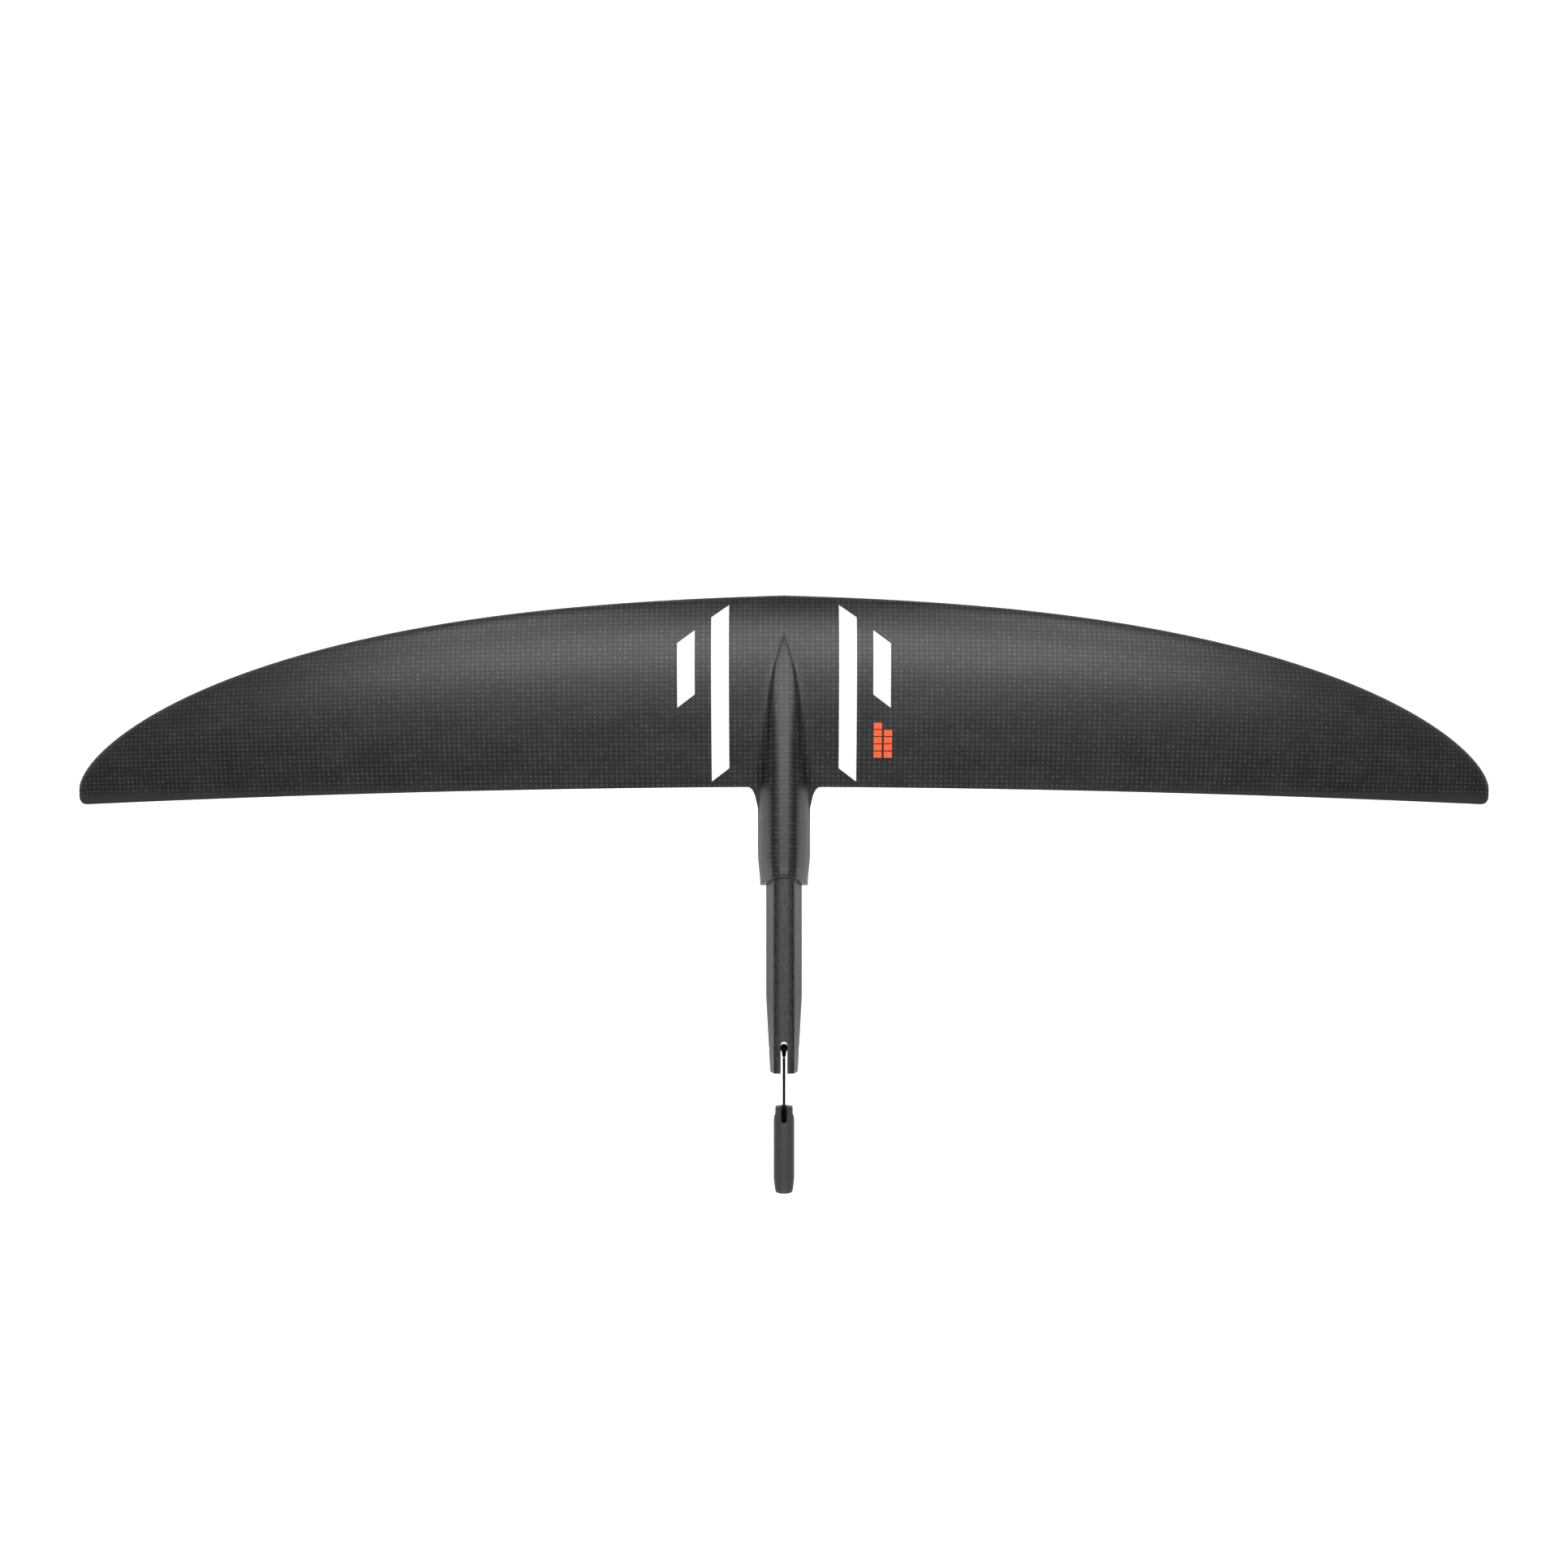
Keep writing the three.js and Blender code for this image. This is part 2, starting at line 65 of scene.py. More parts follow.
# Wing plan and section
HALF_SPAN = 575.6
ROOT_CHORD = 146.0
LEAD_SWEEP = 122.5
LEAD_FULLNESS = 2.6
LEAD_POWER = 0.625
LEAD_RAKE = 18.0
TRAIL_SWEEP = 8.8
TRAIL_POWER = 1.6
TIP_CORNER = 7.0
TIP_SEAM = 530.0
TIP_ROUND = 9.6
DROOP_RADIUS = 2370.0
ROOT_THICKNESS = 0.112
TIP_THICKNESS = 0.095
CAMBER = 0.031
CAMBER_PEAK = 0.4
TRAIL_SLOPE = 2 / 146
EDGE = 0.9
SKIN = 1.2
LEAD_TRIM = 0.08
WING_ROWS = 116
SPAN_COLUMNS = 64
TIP_ROWS = 48
TIP_COLUMNS = 26

# Sleeve
SLEEVE_NOSE = 34.0
SLEEVE_HALF_WIDTH = 19.6
SLEEVE_WAIST = 1.8
WAIST_START = 195.0
SLEEVE_TOP = 22.8
SLEEVE_RAKE = 0.25
SLEEVE_GROWTH = 20.0
NOSE_HALF_WIDTH = 2.0
NOSE_OVERLAP = 1.6
NOSE_TOP = 12.2
TOP_POWER = 0.72
KEEL_NOSE = 3.5
KEEL_DEPTH = SLEEVE_TOP + 2.5
KEEL_FULL = 0.85
CROWN_SHARE = 0.53
FLANK_BULGE = 0.04
NOSE_CROWN_DROP = 0.09
CROWN_DROP = 0.13
OUTLINE_ROUND = 0.8
SLEEVE_END_ROUND = 0.8
RAKE_START = 205.0
FILLET_START = 27.5
FILLET_LENGTH = 24.0
FILLET_FRACTION = 0.8
ROOT_FILLET = 9.0
RIDGE_SEEN = 0.05
CENTRE_END = 34.0

# Spigot
SPIGOT_ROOT = 172.0
SPIGOT_TAPER = 305.5
SPIGOT_END = 363.5
SPIGOT_HALF_WIDTH = 13.7
SPIGOT_END_HALF_WIDTH = 10.6
SPIGOT_HALF_HEIGHT = 20.0
SPIGOT_END_HALF_HEIGHT = 13.6
SPIGOT_CROWN = 7.7
SPIGOT_CROWN_DROP = 0.13
SPIGOT_FLAT = 1.5
SPIGOT_WALL = 3.2
SPIGOT_HOLLOW_END = 325.0
SPIGOT_END_ROUND = 0.7
BORE_GAP = 0.12
BORE_ROUND = 0.4
SLOT_HALF = 2.5
SLOT_FRONT = 339.2
PIN_BACK = 345.4
PIN_RADIUS = 2.0
PIN_HALF_LENGTH = 10.8
PIN_HOLE_RADIUS = 2.3

# Tie rod and barrel
EYE_WIDTH = 4.2
EYE_RADIUS = 3.1
ROD_FRONT = 352.7
ROD_RADIUS = 1.0
STEM_RADIUS = 1.25
ROD_END = 405.9
BARREL_FRONT = 389.8
BARREL_END = 455.7
BARREL_RADIUS = 7.9
BARREL_NECK = 6.65
NOTCH_END = 401.8
HEAD_FRONT = 406.2
HEAD_RADIUS = 2.9
THROAT_RADIUS = 1.55
BORE_RADIUS = 3.4
BORE_FRONT = 404.2
BUSH_RADIUS = 3.1
WASHER_FRONT = 404.5
INSERT_FRONT = 424
INSERT_END = 455.3
THREAD_PITCH = 0.8


def smoothstep(x, low, high):
    t = np.clip((x - low) / (high - low), 0, 1)
    return t * t * (3 - 2 * t)


# ---- making objects ------------------------------------------------------------------------------

def to_row(points):
    shifted = np.asarray(points, float) + (0, -ORIGIN_BACK, -AXIS_Z)
    return shifted * MM


def finish_mesh(mesh):
    """Merges points that coincide, points the faces outward and smooths all but the sharp edges."""
    work = bmesh.new()
    work.from_mesh(mesh)
    bmesh.ops.remove_doubles(work, verts=work.verts, dist=MERGE_METRES)
    bmesh.ops.dissolve_degenerate(work, edges=work.edges, dist=SLIVER_METRES)
    bmesh.ops.recalc_face_normals(work, faces=work.faces)
    work.to_mesh(mesh)
    work.free()
    mesh.shade_smooth()
    mesh.set_sharp_from_angle(angle=math.radians(SHARP_DEGREES))


def make(name, points, faces):
    mesh = bpy.data.meshes.new(name)
    mesh.from_pydata([tuple(p) for p in to_row(points)], [], [tuple(map(int, f)) for f in faces])
    finish_mesh(mesh)
    obj = bpy.data.objects.new(name, mesh)
    bpy.context.scene.collection.objects.link(obj)
    return obj


def dress(obj, body, slot, material, *nodes):
    """Puts a piece on its body, in its material, in place of the CAD nodes that it stands for."""
    obj.data.materials.clear()
    obj.data.materials.append(material)
    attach(obj, body)
    if nodes:
        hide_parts(*nodes)
    return obj


def shell(outer, inner, flip=False):
    """Points and faces of the closed body between two grids of points; NaN marks places without any."""
    rows, columns = outer.shape[:2]
    there = ~np.isnan(outer[..., 0])
    index = -np.ones((rows, columns), int)
    index[there] = np.arange(there.sum())
    count = int(there.sum())
    points = np.concatenate([outer[there], inner[there]])
    a, b = index[:-1, :-1], index[:-1, 1:]
    d, c = index[1:, :-1], index[1:, 1:]
    keep = (a >= 0) & (b >= 0) & (c >= 0) & (d >= 0)
    quads = np.stack([a[keep], b[keep], c[keep], d[keep]], axis=1)
    if flip:
        quads = quads[:, ::-1]
    faces = [tuple(q) for q in quads] + [tuple(q[::-1] + count) for q in quads]
    edges = {}
    for q in quads:
        for i in range(4):
            edges[(q[i], q[(i + 1) % 4])] = True
    for (i, j) in edges:
        if (j, i) not in edges:
            faces.append((j, i, i + count, j + count))
    return points, faces


def loft(rings):
    """Points and faces of a closed body through rings of equal length, with one flat face at each end."""
    count = len(rings[0])
    points = [p for ring in rings for p in ring]
    faces = []
    for i in range(len(rings) - 1):
        for j in range(count):
            a, b = i * count + j, i * count + (j + 1) % count
            faces.append((a, b, b + count, a + count))
    for start, ring, order in ((0, rings[0], -1), ((len(rings) - 1) * count, rings[-1], 1)):
        faces.append(tuple(range(start, start + count))[::order])
    return np.array(points), faces


# ---- wing surfaces -------------------------------------------------------------------------------

def lead(span):
    share = np.clip(np.abs(span) / HALF_SPAN, 0, 1)
    return LEAD_SWEEP * (1 - (1 - share ** LEAD_FULLNESS) ** LEAD_POWER) + LEAD_RAKE * share


def trail(span):
    out = np.abs(span)
    straight = ROOT_CHORD + TRAIL_SWEEP * (out / HALF_SPAN) ** TRAIL_POWER
    corner = np.maximum(0, out - (HALF_SPAN - TIP_CORNER))
    return straight - TIP_CORNER + np.sqrt(np.maximum(0, TIP_CORNER ** 2 - corner ** 2))


def chord(span):
    return trail(span) - lead(span)


def back_at(span, fraction):
    share = np.clip((FILLET_START - np.abs(span)) / (FILLET_START - SLEEVE_HALF_WIDTH), 0, 1)
    fillet = FILLET_LENGTH * (1 - np.sqrt(1 - share ** 2))
    stretch = np.clip((fraction - FILLET_FRACTION) / (1 - FILLET_FRACTION), 0, 1) ** 2
    return lead(span) + fraction * chord(span) + fillet * stretch


def parting(span, back):
    droop = np.sqrt(DROOP_RADIUS ** 2 - np.square(span)) - DROOP_RADIUS
    return droop - TRAIL_SLOPE * (back - lead(span))


def wing_height(side, span, fraction):
    """Height of the wing's upper (side 1) or lower (side -1) surface.

    The thickness and the camber follow the usual four-digit aerofoil formulas.
    """
    out = np.abs(span) / HALF_SPAN
    relative = ROOT_THICKNESS + (TIP_THICKNESS - ROOT_THICKNESS) * out
    f = np.maximum(fraction, 0)
    shape = 0.2969 * np.sqrt(f) - 0.126 * f - 0.3516 * f ** 2 + 0.2843 * f ** 3 - 0.1036 * f ** 4
    front = (2 * CAMBER_PEAK * f - f ** 2) / CAMBER_PEAK ** 2
    rear = (1 - 2 * CAMBER_PEAK + 2 * CAMBER_PEAK * f - f ** 2) / (1 - CAMBER_PEAK) ** 2
    camber = CAMBER * np.where(f < CAMBER_PEAK, front, rear)
    near_tip = np.clip((np.abs(span) - HALF_SPAN + TIP_ROUND) / TIP_ROUND, 0, 1)
    half = (5 * relative * shape * chord(span) + EDGE / 2 * f) * np.sqrt(1 - near_tip ** 2)
    return parting(span, back_at(span, fraction)) + camber * chord(span) + side * half


# ---- sleeve and spigot outlines, from the crown down to the widest line ----------------------------

OUTLINE_SAMPLES = 240
ROW_SAMPLES = 200
ARC_POINTS = 24


def rounded(points, count, radius):
    """The outline as evenly spaced points, with its corners eased over about the given radius."""
    points = np.asarray(points, float)
    gaps = np.hypot(*np.diff(points, axis=0).T)
    along = np.concatenate([[0], np.cumsum(gaps)])
    even = np.linspace(0, along[-1], OUTLINE_SAMPLES)
    dense = np.stack([np.interp(even, along, points[:, k]) for k in (0, 1)], axis=1)
    if radius:
        step = even[1]
        reach = max(1, int(3 * radius / step))
        weight = np.exp(-0.5 * (np.arange(-reach, reach + 1) * step / radius) ** 2)
        weight /= weight.sum()
        mirrored = dense[1:reach + 1][::-1] * (-1, 1)
        straight = dense[-1] + (dense[-1] - dense[-reach - 1:-1][::-1])
        padded = np.concatenate([mirrored, dense, straight])
        dense = np.stack([np.convolve(padded[:, k], weight, mode="valid") for k in (0, 1)], axis=1)
        dense[0, 0] = 0
    gaps = np.hypot(*np.diff(dense, axis=0).T)
    along = np.concatenate([[0], np.cumsum(gaps)])
    even = np.linspace(0, along[-1], count)
    return np.stack([np.interp(even, along, dense[:, k]) for k in (0, 1)], axis=1)


def sleeve_outline(side, back, bottom=0.0):
    """(distance to the side, height over the axis) of the sleeve's top (side 1) or keel (side -1)."""
    along = np.clip((back - SLEEVE_NOSE) / (ORIGIN_BACK - SLEEVE_NOSE), 0, 1)
    grown = 1 - math.exp(-max(back - SLEEVE_NOSE, 0) / SLEEVE_GROWTH)
    half = NOSE_HALF_WIDTH + (SLEEVE_HALF_WIDTH - NOSE_OVERLAP) * grown
    half -= SLEEVE_WAIST * smoothstep(back, WAIST_START, ORIGIN_BACK)
    top = NOSE_TOP + (SLEEVE_TOP - NOSE_TOP) * along ** TOP_POWER - AXIS_Z
    low = KEEL_NOSE + KEEL_DEPTH * smoothstep(along, 0, KEEL_FULL) + AXIS_Z
    height = top if side > 0 else low
    crown, bulge = CROWN_SHARE * half, FLANK_BULGE * half
    drop = NOSE_CROWN_DROP + CROWN_DROP * float(smoothstep(along, 0.1, 0.5))
    across = np.linspace(0, crown, ARC_POINTS)
    arc = np.stack([across, height * (1 - drop * (across / crown) ** 2)], axis=1)
    t = np.linspace(0, 1, ARC_POINTS)[1:]
    flank = np.stack([
        crown + (half - crown) * t + bulge * np.sin(math.pi * t),
        height * (1 - drop) * (1 - t) + bottom * t,
    ], axis=1)
    return np.concatenate([arc, flank])


def spigot_outline(back, grow=0.0):
    """(distance to the side, height over the axis) of the spigot, made larger all round by grow."""
    taper = np.clip((back - SPIGOT_TAPER) / (SPIGOT_END - SPIGOT_TAPER), 0, 1)
    along = np.clip((back - ORIGIN_BACK) / (SPIGOT_END - ORIGIN_BACK), 0, 1)
    half = SPIGOT_HALF_WIDTH + (SPIGOT_END_HALF_WIDTH - SPIGOT_HALF_WIDTH) * taper + grow
    height = SPIGOT_HALF_HEIGHT + (SPIGOT_END_HALF_HEIGHT - SPIGOT_HALF_HEIGHT) * along + grow
    across = np.linspace(0, SPIGOT_CROWN, 16)
    arc = np.stack([across, height * (1 - SPIGOT_CROWN_DROP * (across / SPIGOT_CROWN) ** 2)], axis=1)
    return np.concatenate([arc, [(half, SPIGOT_FLAT), (half, 0)]])


# ---- skins ---------------------------------------------------------------------------------------

RIDGE_POINTS = 17
FILLET_POINTS = 9
FLAT_POINTS = 7
EASE_SHARE, EASE_MOST, EASE_LEAST = 0.45, 5.0, 0.15
REACH_START, REACH_RATE, REACH_LEAST = 1.0, 1.3, 0.6
FLAT_START, FLAT_BASE, FLAT_REACH = 1.6, 2.2, 3.0


def first_below(across, gap, level):
    """Where a falling gap first passes a level."""
    under = np.nonzero(gap < level)[0]
    if len(under) == 0:
        return across[-1]
    i = under[0]
    if i == 0:
        return 0.0
    share = (gap[i - 1] - level) / (gap[i - 1] - gap[i])
    return across[i - 1] + share * (across[i] - across[i - 1])


def centre_row(side, fraction):
    """One row of the wing's middle: over the ridge, down its fillet and out along the wing.

    The ridge turns into its fillet at "start", would meet the wing at "base", and the fillet ends at
    "reach" beyond that. Where no ridge stands proud yet, the row keeps its points in the same order.
    """
    back = float(back_at(0.0, fraction))
    outline = rounded(sleeve_outline(side, back), ROW_SAMPLES, OUTLINE_ROUND)
    across, ridge = outline.T
    fades = 1 - smoothstep(fraction, FILLET_FRACTION, 1.0)
    level = side * (wing_height(side, across, fraction) - AXIS_Z)
    stands = ridge[0] - level[0] if back > SLEEVE_NOSE else 0.0
    if stands > RIDGE_SEEN:
        keep = across >= 0
        gap = ridge[keep] - level[keep]
        base = first_below(across[keep], gap, 0.0)
        gap_at_start = min(EASE_SHARE * stands, EASE_MOST) * fades + EASE_LEAST
        start = min(first_below(across[keep], gap, gap_at_start), base)
        reach = min(ROOT_FILLET, REACH_START + REACH_RATE * stands) * fades + REACH_LEAST
    else:
        start, base, reach = FLAT_START, FLAT_BASE, FLAT_REACH
    if stands > RIDGE_SEEN:
        part = outline[across <= start]
        part = np.concatenate([part, [(start, np.interp(start, across, ridge))]])
        top = rounded(part, RIDGE_POINTS, 0)
    else:
        u = np.linspace(0, 1, RIDGE_POINTS) * start
        top = np.stack([u, side * (wing_height(side, u, fraction) - AXIS_Z)], axis=1)

    def on_wing(u):
        return np.stack([u, side * (wing_height(side, u, fraction) - AXIS_Z)], axis=-1)

    t = np.linspace(0, 1, FILLET_POINTS + 1)[1:, None]
    corner, far = on_wing(np.array(base)), on_wing(np.array(base + reach))
    bend = (1 - t) ** 2 * top[-1] + 2 * t * (1 - t) * corner + t ** 2 * far
    flat = on_wing(np.linspace(base + reach, CENTRE_END, FLAT_POINTS + 1)[1:])
    return np.concatenate([top, bend, flat])


def skin(side):
    """The upper (side 1) or lower (side -1) laminate with its half of the sleeve, as a closed body."""
    fractions = 1 - np.cos(np.linspace(0, math.pi / 2, WING_ROWS))
    beyond = np.linspace(CENTRE_END, TIP_SEAM, SPAN_COLUMNS)[1:]
    centre = RIDGE_POINTS + FILLET_POINTS + FLAT_POINTS
    columns = centre + len(beyond)
    end_start = ORIGIN_BACK - SLEEVE_END_ROUND
    sleeve_backs = np.concatenate([
        np.linspace(float(back_at(0.0, 1.0)), SPIGOT_ROOT, 3)[1:],
        np.linspace(SPIGOT_ROOT, end_start, 26)[1:],
        ORIGIN_BACK - SLEEVE_END_ROUND * (1 - np.sin(np.linspace(0, math.pi / 2, 5)[1:])),
    ])
    rows = len(fractions) + len(sleeve_backs)
    outer = np.full((rows, columns, 3), np.nan)
    inner = np.full((rows, columns, 3), np.nan)
    for i, fraction in enumerate(fractions):
        row = centre_row(side, fraction)
        across = np.concatenate([row[:, 0], beyond])
        height = np.concatenate([
            AXIS_Z + side * row[:, 1], wing_height(side, beyond, fraction),
        ])
        back = np.maximum(back_at(across, fraction), LEAD_TRIM)
        seam = parting(across, back)
        outer[i] = np.stack([across, back, height], axis=1)
        wall = np.maximum(side * (height - seam) - SKIN, 0)
        inner[i] = np.stack([across, back, seam + side * wall], axis=1)
    for i, back in enumerate(sleeve_backs, len(fractions)):
        seam = side * (float(parting(0.0, back)) - AXIS_Z)
        shape = sleeve_outline(side, min(back, ORIGIN_BACK), seam)
        outline = rounded(shape, RIDGE_POINTS, OUTLINE_ROUND)
        edge = max(0.0, back - ORIGIN_BACK + SLEEVE_END_ROUND)
        inset = SLEEVE_END_ROUND - math.sqrt(SLEEVE_END_ROUND ** 2 - edge ** 2)
        size = outline.max(axis=0)
        outline = outline * (1 - inset / size)
        bore = rounded(spigot_outline(back, BORE_GAP), RIDGE_POINTS, BORE_ROUND)
        bore[-1, 1] = seam
        lean = SLEEVE_RAKE * smoothstep(back, RAKE_START, end_start)
        for grid, shape in ((outer, outline), (inner, bore)):
            leaned = back - lean * np.abs(shape[:, 1])
            grid[i, :RIDGE_POINTS] = np.stack(
                [shape[:, 0], leaned, AXIS_Z + side * shape[:, 1]], axis=1)
    mirror = np.array([-1, 1, 1])
    outer = np.concatenate([outer[:, :0:-1] * mirror, outer], axis=1)
    inner = np.concatenate([inner[:, :0:-1] * mirror, inner], axis=1)
    return shell(outer, inner, flip=side < 0)


def tip(sign):
    """The solid block at one end of the wing, closed round its outer edge."""
    angles = np.linspace(0, math.pi / 2, TIP_COLUMNS)
    spans = sign * (TIP_SEAM + (HALF_SPAN - TIP_SEAM) * np.sin(angles))
    spans = spans if sign > 0 else spans[::-1]
    fractions = 1 - np.cos(np.linspace(0, math.pi / 2, TIP_ROWS))
    f, s = np.meshgrid(fractions, spans, indexing="ij")
    grids = [np.stack([s, back_at(s, f), wing_height(side, s, f)], axis=2) for side in (1, -1)]
    return shell(*grids)


# ---- films ---------------------------------------------------------------------------------------

SLANT = 9.9
LONG_SPANS, LONG_BACKS = (41.6, 55), (8.7, 132)
SHORT_SPANS, SHORT_BACKS = (67.4, 80.7), (28.6, 77)
BLOCK_COLUMNS = (((68, 74.2), 5), ((75.8, 82), 4))
BLOCKS_REAR = 124
BLOCK = 4.5
BLOCK_GAP = 0.85
FILM_LIFT = 0.05
FILM = 0.07


def film(spans, backs, slant):
    """A thin film on the wing's top, its ends cut on the slant with the outer end further back."""
    share, along = np.meshgrid(np.linspace(0, 1, 7), np.linspace(0, 1, 60))
    span = spans[0] + (spans[1] - spans[0]) * share
    back = backs[0] + (backs[1] - backs[0]) * along + slant * share
    fraction = (back - lead(span)) / chord(span)
    base = wing_height(1, span, fraction)
    top = np.stack([span, back, base + FILM_LIFT + FILM], axis=2)
    bottom = np.stack([span, back, base + FILM_LIFT], axis=2)
    return shell(top, bottom, flip=spans[1] < spans[0])


def mark(sign):
    """Two rows of plain blocks where the wing's size would be marked."""
    points, faces = [], []
    for spans, count in BLOCK_COLUMNS:
        for i in range(count):
            rear = BLOCKS_REAR - i * (BLOCK + BLOCK_GAP)
            block, corners = film([sign * span for span in spans], (rear - BLOCK, rear), 0)
            faces += [tuple(j + sum(map(len, points)) for j in face) for face in corners]
            points.append(block)
    return np.concatenate(points), faces


# ---- turned and cut pieces -----------------------------------------------------------------------

def turned(profile, sides):
    """A closed body of revolution about the rod's axis, from a closed loop of (back, radius) pairs."""
    angles = np.linspace(0, 2 * math.pi, sides, endpoint=False)
    count = len(profile)
    points = [
        (r * math.cos(a), back, AXIS_Z + r * math.sin(a)) for a in angles for back, r in profile
    ]
    faces = []
    for i in range(sides):
        for j in range(count):
            a, b = i * count + j, i * count + (j + 1) % count
            shift = ((i + 1) % sides - i) * count
            faces.append((a, a + shift, b + shift, b))
    return np.array(points), faces


def eased(profile, radius, steps=5):
    """The closed loop with each corner that is off the axis rounded, starting up to the radius away."""
    points = [np.array(p, float) for p in profile]
    result = []
    for i, corner in enumerate(points):
        if corner[1] < 0.01:
            result.append(corner)
            continue
        before, after = points[i - 1] - corner, points[(i + 1) % len(points)] - corner
        reach = min(radius, 0.45 * np.hypot(*before), 0.45 * np.hypot(*after))
        start = corner + before / np.hypot(*before) * reach
        end = corner + after / np.hypot(*after) * reach
        for t in np.linspace(0, 1, steps):
            result.append((1 - t) ** 2 * start + 2 * t * (1 - t) * corner + t ** 2 * end)
    return result


def crosswise(points):
    """Turns a body from the rod's axis to one across it, through the middle of the pin hole."""
    x, back, z = np.asarray(points).T
    return np.stack([back, PIN_BACK + x, z], axis=1)


def slot_cutter(front, rear, low, high, round_at_rear):
    """A straight slot, as wide as the cut, with one round end."""
    angles = np.linspace(0, math.pi, 17)
    if round_at_rear:
        round_end = [(SLOT_HALF * math.cos(a), rear + SLOT_HALF * (math.sin(a) - 1)) for a in angles]
        outline = [(-SLOT_HALF, front), (SLOT_HALF, front)] + round_end
    else:
        round_end = [(-SLOT_HALF * math.cos(a), front + SLOT_HALF * (1 - math.sin(a))) for a in angles]
        outline = [(SLOT_HALF, rear), (-SLOT_HALF, rear)] + round_end
    return loft([[(x, back, z) for x, back in outline] for z in (low, high)])


def cut(obj, *cutters):
    """Takes bodies away from a piece."""
    for points, faces in cutters:
        cutter = make("cutter", points, faces)
        work = obj.modifiers.new("cut", "BOOLEAN")
        work.operation = "DIFFERENCE"
        work.solver = "EXACT"
        work.object = cutter
        apply_modifiers(obj)
        bpy.data.objects.remove(cutter)
    return obj


def apply_modifiers(obj):
    bpy.context.view_layer.update()
    seen = obj.evaluated_get(bpy.context.evaluated_depsgraph_get())
    mesh = bpy.data.meshes.new_from_object(seen)
    obj.modifiers.clear()
    obj.data = mesh


def bevelled(obj, width, segments=3, degrees=40):
    """Rounds a piece's sharp edges."""
    work = obj.modifiers.new("bevel", "BEVEL")
    work.width = width * MM
    work.segments = segments
    work.limit_method = "ANGLE"
    work.angle_limit = math.radians(degrees)
    apply_modifiers(obj)
    finish_mesh(obj.data)
    return obj


def spigot_rings(backs, grow):
    """Closed rings round the spigot at the given distances back."""
    rings = []
    for back in backs:
        half = rounded(spigot_outline(back, grow), 24, 0.35)
        quarter = [(x, back, AXIS_Z + z) for x, z in half]
        right = quarter[::-1]
        left = [(-x, y, z) for x, y, z in quarter[1:]]
        upper = right + left
        lower = [(x, y, 2 * AXIS_Z - z) for x, y, z in upper[::-1][1:-1]]
        rings.append(upper + lower)
    return rings


def spigot():
    """The hollow tube with its slot, its pin hole and a rounded end."""
    straight = np.linspace(ORIGIN_BACK - 20, SPIGOT_TAPER, 24)
    tapered = np.linspace(SPIGOT_TAPER + 4.5, SPIGOT_END - 1.5, 10)
    rings = spigot_rings([SPIGOT_ROOT, *straight, *tapered], 0)
    end_start = SPIGOT_END - SPIGOT_END_ROUND
    for angle in np.linspace(0, math.pi / 2, 5):
        back = end_start + SPIGOT_END_ROUND * math.sin(angle)
        rings += spigot_rings([back], -SPIGOT_END_ROUND * (1 - math.cos(angle)))
    obj = make("spigot_tube", *loft(rings))
    hollow_backs = [SPIGOT_ROOT - 5, ORIGIN_BACK, SPIGOT_TAPER, SPIGOT_HOLLOW_END]
    hollow = loft(spigot_rings(hollow_backs, -SPIGOT_WALL))
    slot = slot_cutter(SLOT_FRONT, SPIGOT_END + 5, AXIS_Z - 30, AXIS_Z + 30, False)
    hole_points, hole_faces = turned([(-20, 0), (-20, PIN_HOLE_RADIUS), (20, PIN_HOLE_RADIUS), (20, 0)], 48)
    cut(obj, hollow, slot, (crosswise(hole_points), hole_faces))
    return bevelled(obj, 0.3)


def rod_eye():
    """The ring round the pin, with the neck that runs into the rod."""
    half = EYE_WIDTH / 2
    ring = [(-half, PIN_HOLE_RADIUS), (-half, EYE_RADIUS), (half, EYE_RADIUS), (half, PIN_HOLE_RADIUS)]
    points, faces = turned(eased(ring, 0.35), 72)
    neck = [(PIN_BACK + 2.7, 0), (PIN_BACK + 2.7, 1.7), (PIN_BACK + 4.4, 1.6),
            (PIN_BACK + 7, 1.2), (PIN_BACK + 7, 0)]
    obj = make("rod_eye_ring", crosswise(points), faces)
    stub = make("stub", *turned(eased(neck, 0.4), 48))
    work = obj.modifiers.new("join", "BOOLEAN")
    work.operation = "UNION"
    work.solver = "EXACT"
    work.object = stub
    apply_modifiers(obj)
    bpy.data.objects.remove(stub)
    finish_mesh(obj.data)
    return obj


def threaded(front, rear):
    """The insert's outline: a plain outside, and thread-like rings in its bore."""
    crest, root = 2.1, 2.5
    count = int((rear - front - 1) / THREAD_PITCH)
    bore = []
    for i in range(count):
        back = rear - 0.5 - i * THREAD_PITCH
        bore += [(back, crest), (back - 0.15, crest), (back - 0.4, root), (back - 0.55, root)]
    outside = [(front, crest), (front, BUSH_RADIUS), (rear - 0.25, BUSH_RADIUS), (rear, 2.9), (rear, root)]
    return outside + bore


def barrel():
    """The barrel: a stepped neck, a straight middle, a tapered end, a throat and a bore."""
    front, end = BARREL_FRONT, BARREL_END
    outline = [(front, THROAT_RADIUS), (front, BARREL_NECK), (395.7, BARREL_NECK + 0.15), (397, 7.55),
               (400, BARREL_RADIUS), (445, BARREL_RADIUS), (451, 7.2), (454.6, BARREL_NECK),
               (end, 5.8), (end, BORE_RADIUS), (BORE_FRONT, BORE_RADIUS), (BORE_FRONT + 1, THROAT_RADIUS)]
    obj = make("barrel_body", *turned(eased(outline, 0.7), 128))
    notch = slot_cutter(front - 2, NOTCH_END, AXIS_Z - SLOT_HALF, AXIS_Z + 14, True)
    cut(obj, notch)
    return bevelled(obj, 0.22)


# ---- materials -----------------------------------------------------------------------------------

